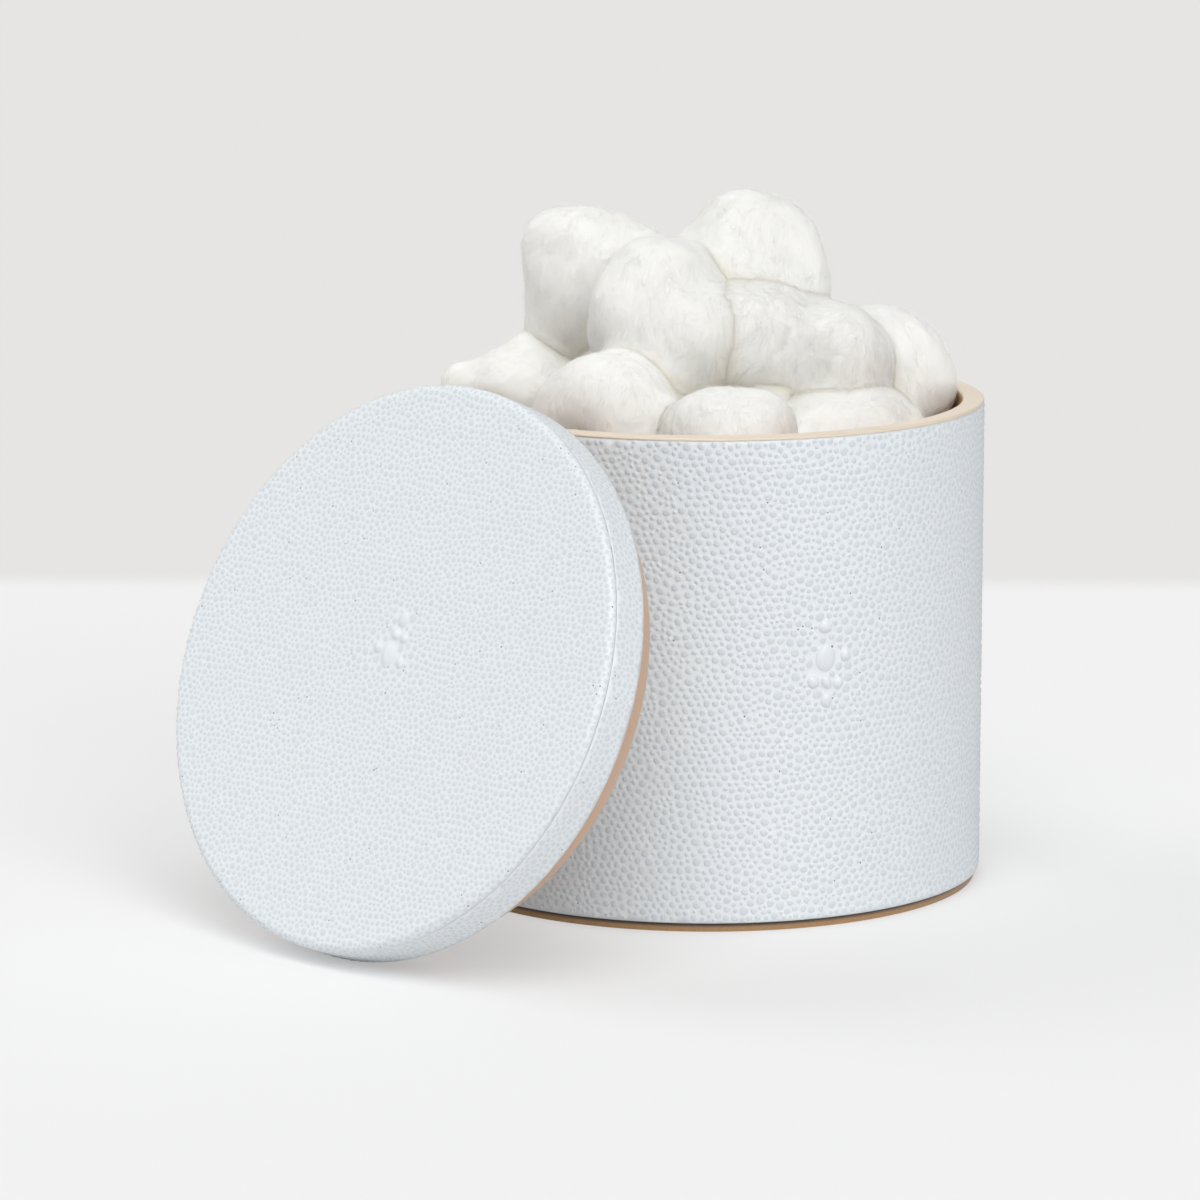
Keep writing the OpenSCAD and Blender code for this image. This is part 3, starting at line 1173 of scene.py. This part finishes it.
    def loose_fibres(self, seed: int, points: Array, out: Array, turn: Array, free: Array) -> tuple[Array, ...]:
        """Thin arched fibres over a ball's surface, each a pointed tube of three sides.

        A fibre's line is p + d L (s - 1/2) + n h 4 s (1 - s) for s from 0 to 1, bent down and aside.

        Args:
            seed: Seed of the random draws.
            points: The ball's points, in mm.
            out: Their outward normals.
            turn: The ball's fibre axes.
            free: How free the ball is at its points, from 0 to 1.

        Returns:
            Points, triangles, fibre coordinates, meeting and loose, as joined_cotton takes them.
        """
        rng = np.random.default_rng(seed)
        open_points = np.flatnonzero(free > 0.05)
        full, quick = self.fibres
        count = full
        pick = rng.choice(open_points, count)
        start, normal = points[pick], out[pick]
        grain = turn[:, 2] + rng.normal(0, 0.6, (count, 3))
        flat = grain - (grain * normal).sum(axis=1, keepdims=True) * normal
        flat /= np.linalg.norm(flat, axis=1, keepdims=True)
        side = np.cross(normal, flat)
        length = rng.uniform(*self.fibre_length, (count, 1, 1))
        high = rng.gamma(1.5, 0.22, (count, 1, 1)).clip(*self.fibre_arch)
        sway = rng.normal(0, 0.3, (count, 1, 1))
        s = np.array([0, 0.3, 0.7, 1])[None, :, None]
        line = (
            start[:, None] + flat[:, None] * length * (s - 0.5) + normal[:, None] * (high * 4 * s * (1 - s) - 0.12)
            - normal[:, None] * (length * (s - 0.5)) ** 2 / 26
            + side[:, None] * sway * np.sin(math.pi * s) * length / 3
        )
        angle = np.arange(3) * FULL_TURN / 3
        ring = (
            normal[:, None, None] * np.cos(angle)[None, None, :, None]
            + side[:, None, None] * np.sin(angle)[None, None, :, None]
        ) * self.fibre_half
        tube = (line[:, 1:3, None] + ring).reshape(count, 6, 3)
        verts = self.off_wall(np.concatenate([line[:, :1], tube, line[:, 3:]], axis=1), 0.15)
        i, j = np.arange(3), (np.arange(3) + 1) % 3
        one = np.concatenate([
            np.stack([0 * i, 1 + j, 1 + i], axis=1), np.stack([1 + i, 1 + j, 4 + j], axis=1),
            np.stack([1 + i, 4 + j, 4 + i], axis=1), np.stack([0 * i + 7, 4 + i, 4 + j], axis=1),
        ])
        faces = (one[None] + (np.arange(count) * 8)[:, None, None]).reshape(-1, 3)
        return verts.reshape(-1, 3), faces, verts.reshape(-1, 3) / 3, np.zeros(8 * count), True

    def hidden_layers(self) -> Object:
        """The balls under the heap: three layers of eight along the wall and three in the middle."""
        rays, faces = unit_ball(5)
        radius, gap = self.hidden_radius, self.hidden_gap
        outer, inner = self.bore - radius, (radius + gap / 2) / math.sin(math.radians(60))
        meshes = []
        for layer in range(self.layers):
            z = self.floor + gap + radius + layer * self.hidden_step
            for count, ring in ((8, outer), (3, inner)):
                for i in range(count):
                    angle = math.radians((i + 0.5) * 360 / count)
                    seed = 500 + 40 * layer + 10 * count + i
                    middle = np.array([ring * math.cos(angle), ring * math.sin(angle), z])
                    lumps = 0.35 * Waves(seed, 1.1)(rays) - 0.35 + 0.1 * Waves(seed + 7, 0.35)(rays)
                    points = middle + rays * (radius + np.minimum(lumps, 0.05))[:, None]
                    turn = fibre_axes(tuple(np.random.default_rng(seed).normal(size=3)))
                    lay = ((points - middle) @ turn) / np.array([1, 1, self.stretch])
                    meshes.append((points, faces, lay, np.zeros(len(points)), False))
        return joined_cotton("cotton_lower_layers_wads", meshes)

    def build(self, cotton: Material) -> None:
        """Makes every ball and the hidden layers."""
        for number, wad in enumerate(self.wads):
            made = self.ball(number, wad)
            register(made, Body.COTTON, Slot.COTTON, cotton, f"cotton_ball_{number + 1}")
        lower = self.hidden_layers()
        register(lower, Body.COTTON, Slot.COTTON, cotton, "cotton_lower_layers")


def soft_minimum(one: Array, two: Array, width: float) -> Array:
    """The smaller of two distances, rounded off over a width: mix(two, one, h) - width * h * (1 - h)."""
    mix = np.clip(0.5 + 0.5 * (two - one) / width, 0, 1)
    return two + (one - two) * mix - width * mix * (1 - mix)


def unit_ball(level: int) -> tuple[Array, Array]:
    """Even sphere of radius 1: an icosahedron divided level - 1 times.

    Args:
        level: How fine it is. Each step has four times the triangles.

    Returns:
        N by 3 points and M by 3 triangles.
    """
    grid = bmesh.new()
    bmesh.ops.create_icosphere(grid, subdivisions=level, radius=1.0)
    mesh = bpy.data.meshes.new("grid")
    grid.to_mesh(mesh)
    grid.free()
    points = np.zeros(len(mesh.vertices) * 3)
    mesh.vertices.foreach_get("co", points)
    faces = np.zeros(len(mesh.polygons) * 3, int)
    mesh.polygons.foreach_get("vertices", faces)
    bpy.data.meshes.remove(mesh)
    points = points.reshape(-1, 3)
    return points / np.linalg.norm(points, axis=1, keepdims=True), faces.reshape(-1, 3)


def fibre_axes(lay: Sequence[float]) -> Array:
    """Axes with the third along a ball's fibres, as columns."""
    third = np.array(lay, float) / np.linalg.norm(lay)
    first = np.cross(third, (0.31, 0.95, 0.05))
    first /= np.linalg.norm(first)
    return np.stack([first, np.cross(third, first), third], axis=1)


def surface_nets(field: Array, low: Array, step: float) -> tuple[Array, Array]:
    """Skin of the region where a field on a grid is below 0.

    Each cell that the skin passes gets one point, the mean of its edges' crossings, and each edge
    that it crosses gets a square between the four cells about it.

    Args:
        field: Values at the grid's nodes, above 0 along its border.
        low: Place of its first node, in mm.
        step: Distance between its nodes, in mm.

    Returns:
        Points in mm, and triangles that wind outwards.
    """
    inside = (field < 0).astype(np.int8)
    a, b, c = np.array(field.shape) - 1
    filled = sum(inside[i : i + a, j : j + b, k : k + c] for i, j, k in itertools.product((0, 1), repeat=3))
    cells = np.argwhere((filled > 0) & (filled < 8))
    number = np.zeros(filled.shape, int)
    number[tuple(cells.T)] = np.arange(len(cells))
    total, hits, faces = np.zeros((len(cells), 3)), np.zeros((len(cells), 1)), []
    for axis in range(3):
        along, side, other = np.roll(np.eye(3, dtype=int), -axis, axis=0)
        for i, j in itertools.product((0, 1), repeat=2):
            start = cells + i * side + j * other
            one, two = field[tuple(start.T)], field[tuple((start + along).T)]
            crossed = ((one < 0) != (two < 0))[:, None]
            share = one[:, None] / np.where(crossed, (one - two)[:, None], 1)
            total += np.where(crossed, start + share * along, 0)
            hits += crossed
        edges = np.argwhere(np.diff(inside, axis=axis) != 0)
        square = np.stack([number[tuple((edges - s).T)] for s in (0 * side, side, side + other, other)], axis=1)
        leaving = inside[tuple(edges.T)] == 1
        square[~leaving] = square[~leaving][:, ::-1]
        faces += [square[:, [0, 1, 2]], square[:, [0, 2, 3]]]
    return low + step * total / hits, np.concatenate(faces)


def joined_cotton(name: str, meshes: Sequence[tuple[Array, ...]]) -> Object:
    """Joins cotton meshes into one piece, with its attributes lay, meeting and loose.

    Args:
        name: The piece's name.
        meshes: Points, triangles, fibre coordinates, meeting and loose of each.

    Returns:
        The piece.
    """
    points, faces, lay, meeting, loose = zip(*meshes)
    sizes = [len(part) for part in points]
    starts = itertools.accumulate(sizes, initial=0)
    every = np.concatenate(points)
    triangles = np.concatenate([part + start for part, start in zip(faces, starts)])
    mesh = bpy.data.meshes.new(name)
    mesh.vertices.add(len(every))
    mesh.vertices.foreach_set("co", (every * MM).astype(np.float32).ravel())
    mesh.loops.add(triangles.size)
    mesh.loops.foreach_set("vertex_index", triangles.astype(np.int32).ravel())
    mesh.polygons.add(len(triangles))
    mesh.polygons.foreach_set("loop_start", np.arange(0, triangles.size, 3, dtype=np.int32))
    mesh.update(calc_edges=True)
    mesh.shade_smooth()
    made = in_scene(name, mesh)
    set_attribute(made, "lay", np.concatenate(lay))
    set_attribute(made, "meeting", np.concatenate(meeting))
    set_attribute(made, "loose", np.repeat(loose, sizes))
    return made


WADS = (
    Wad((Lobe(-26, 12.5, 25.8, 11.6), Lobe(-16.5, 14, 23.3, 11.2), Lobe(-28, 12, 17, 9.5)), (0.35, 0.0, 1.0)),
    Wad((Lobe(-9.5, -8, 23.5, 10.4), Lobe(-13.5, -9, 17, 11.2), Lobe(-5, -12, 13.5, 10.6)), (0.1, 0.1, 1.0)),
    Wad(
        (Lobe(6.5, 7, 31.7, 8.9), Lobe(12.2, 7, 31.7, 8.7), Lobe(15.5, 6.5, 24.5, 10.0), Lobe(5, 6, 26, 9.8)),
        (0.25, 0.2, 1.0),
    ),
    Wad((Lobe(13, -7, 13, 9.6), Lobe(25, -6.5, 9.5, 11.5), Lobe(9, -9, 14, 9)), (0.5, -0.2, 1.0)),
    Wad((Lobe(35.5, 9.5, 8, 9.5), Lobe(40.5, 11, -1.5, 11.4), Lobe(38.5, 10, 3.5, 10.9)), (-0.3, 0.3, 1.0)),
    Wad((Lobe(-38, 8.5, -2, 11.0), Lobe(-34.5, 16.5, -1, 9.5), Lobe(-50, 7, 0.5, 4.6)), (0.8, 0.2, 0.7)),
    Wad((Lobe(-19.5, -26.5, 1, 10.4), Lobe(-14.5, -26.5, -6.5, 11.6), Lobe(-24.5, -24, 0.5, 9.8)), (0.2, 0.1, 1.0)),
    Wad((Lobe(2, -38, -3, 9.6), Lobe(8.5, -38, -2.2, 10.0)), (-0.2, 0.2, 1.0)),
    Wad((Lobe(23, -20, -11, 11.5), Lobe(30, -15, -11, 11.8), Lobe(36, -10, -11, 11.5)), (0.6, 0.2, 0.8)),
    Wad((Lobe(-17.5, 31, -2.5, 12.4),), (0.5, 0.5, 0.7)),
    Wad((Lobe(20, 31, -4.5, 12.4),), (-0.5, 0.3, 0.8)),
    Wad((Lobe(-13.5, 3, -2, 13.4), Lobe(-9, -9, -2, 11.5)), (0.1, 0.8, 0.6), seen=False),
    Wad((Lobe(10, 0, 1, 15.0),), (0.7, 0.1, 0.7), seen=False),
    Wad((Lobe(2.5, 24.5, 13.5, 13.5), Lobe(2, 13, 15, 12.5)), (0.3, 0.3, 1.0)),
)


# ---------------------------------------------------------------- studio


@dataclass(frozen=True)
class Lamp:
    """Soft, even lamp.

    Attributes:
        name: The lamp's name.
        azimuth: Where it stands, in degrees from the camera's side towards +X.
        elevation: Its height over the horizon, in degrees.
        strength: Its strength. Pi lights a white face that looks at it to 1.
        spread: Its width as seen from the object, in degrees.
    """

    name: str
    azimuth: float
    elevation: float
    strength: float
    spread: float


LAMPS = (
    Lamp("right_softbox", 30, 30, 1.22, 35),
    Lamp("front_softbox", 0, 58, 1.46, 45),
    Lamp("left_softbox", -110, 35, 0.95, 45),
    Lamp("back_softbox", 180, 45, 0.28, 45),
)


@dataclass
class Studio:
    """Pale table in front of a light grey wall, soft light and the photograph's camera.

    Attributes:
        wall: Colour of the wall behind the table.
        table: Colour of the table.
        table_half: Half its width, in mm.
        glow: Colour that evens out the table for the camera.
        glow_share: Share of that colour.
        fill: Strength of the even light from all around.
        far_edge: Distance behind the canister's axis where the table ends, in mm.
        fade: Depth over which the table's far edge blurs into the wall, in mm.
        eye: Place of the camera, in mm.
        pitch: Downward tilt of the camera, in degrees.
        yaw: Turn of the camera to the left, in degrees.
        lens: Focal length on a 36 mm sensor, in mm.
    """

    wall: str = "e6e5e3"
    table: str = "f5f5f5"
    table_half: float = 3000.0
    glow: str = "f2f2f2"
    glow_share: float = 0.45
    fill: float = 0.14
    far_edge: float = 330.0
    fade: float = 26.0
    eye: tuple[float, float, float] = (0.0, -1189.9, 279.1)
    pitch: float = 10.579
    yaw: float = 1.049
    lens: float = 174.96

    def camera(self) -> None:
        """Makes the camera: a long lens that looks slightly down."""
        data = bpy.data.cameras.new("camera")
        data.sensor_width, data.lens = 36.0, self.lens
        data.clip_start, data.clip_end = 0.05, 20.0
        made = in_scene("camera", data)
        made.location = [x * MM for x in self.eye]
        made.rotation_euler = (math.radians(90 - self.pitch), 0, math.radians(self.yaw))
        bpy.context.scene.camera = made

    def seen_by_camera(self, tree: Tree) -> Socket:
        """1 for camera, glossy and transmission rays, so that metal and glass show the backdrop too."""
        path = add(tree, "ShaderNodeLightPath")
        seen = path.outputs["Is Camera Ray"]
        for ray in ("Is Glossy Ray", "Is Transmission Ray"):
            seen = add(tree, "ShaderNodeMath", operation="MAXIMUM", links={0: seen, 1: path.outputs[ray]}).outputs[0]
        return seen

    def world(self) -> None:
        """Grey wall for the camera, and even white light for the object."""
        world = bpy.data.worlds.new("studio")
        bpy.context.scene.world = world
        world.use_nodes = True
        tree = world.node_tree
        tree.nodes.clear()
        light, wall = (
            add(tree, "ShaderNodeBackground", values={"Color": linear(code), "Strength": strength}).outputs[0]
            for code, strength in (("ffffff", self.fill), (self.wall, 1.0))
        )
        mix = add(tree, "ShaderNodeMixShader", links={0: self.seen_by_camera(tree), 1: light, 2: wall})
        add(tree, "ShaderNodeOutputWorld", links={"Surface": mix.outputs[0]})

    def floor(self) -> None:
        """Table: matt white, with its far edge blurred into the wall for the camera."""
        wide, far = self.table_half, self.far_edge + 15
        points = np.array([[-wide, -wide, -0.05], [wide, -wide, -0.05], [wide, far, -0.05], [-wide, far, -0.05]])
        made = mesh_object("table_top", points, [(0, 1, 2, 3)], smooth=False)
        material, tree = new_material("matt_white_laminate")
        low, high = ((self.far_edge + side) * MM for side in (-self.fade / 2, self.fade / 2))
        fade = rise(tree, coordinate(tree, object_place(tree), "Y"), low, high)
        board = add(tree, "ShaderNodeBsdfDiffuse", values={"Color": linear(self.table)}).outputs[0]
        glow, wall = (
            add(tree, "ShaderNodeEmission", values={"Color": linear(code), "Strength": 1.0}).outputs[0]
            for code in (self.glow, self.wall)
        )
        share = add(
            tree, "ShaderNodeMath", operation="MULTIPLY",
            values={1: self.glow_share}, links={0: self.seen_by_camera(tree)},
        )
        top = add(tree, "ShaderNodeMixShader", links={0: share.outputs[0], 1: board, 2: glow})
        mix = add(tree, "ShaderNodeMixShader", links={0: fade, 1: top.outputs[0], 2: wall})
        surface_out(tree, mix.outputs[0])
        made.data.materials.append(material)

    def sun(self, lamp: Lamp) -> None:
        """Adds a soft, even lamp."""
        data = bpy.data.lights.new(lamp.name, "SUN")
        data.energy, data.angle = lamp.strength, math.radians(lamp.spread)
        a, e = math.radians(lamp.azimuth), math.radians(lamp.elevation)
        towards = Vector((math.sin(a) * math.cos(e), -math.cos(a) * math.cos(e), math.sin(e)))
        in_scene(lamp.name, data).rotation_euler = towards.to_track_quat("Z", "Y").to_euler()

    def build(self) -> None:
        """Makes the camera, the backdrop and the lamps."""
        self.camera()
        self.world()
        self.floor()
        for lamp in LAMPS:
            self.sun(lamp)
        bpy.context.scene.view_settings.view_transform = "Standard"


def main() -> None:
    """Builds the studio, the canister, the lid and the cotton."""
    logging.basicConfig(level=logging.INFO, format="%(message)s")
    Studio().build()
    placing = leaning(facing=42.7, lean=22.4, shift=2.2, foot_y=107.076, radius=57.5)
    Canister().build(ShagreenFinish().material(), PaintFinish().material(), SuedeFinish().material())
    lid_shagreen = ShagreenFinish(name="faux_shagreen_fine", dome=0.035)
    # Painted shade: the lid's lacquer is a darker, greyer copy of the canister's, set to the colour of its edge in
    # shade, with no pale rim.
    shaded_lid_paint = PaintFinish(name="lacquered_lid_board_shaded", light="cdb09a", deep="c0a28c", painted_shade_below=None)
    Lid(placing).build(lid_shagreen.material(), shaded_lid_paint.material())
    CottonHeap(WADS).build(CottonFinish().material())
    bpy.context.view_layer.update()


if __name__ == "__main__":
    main()
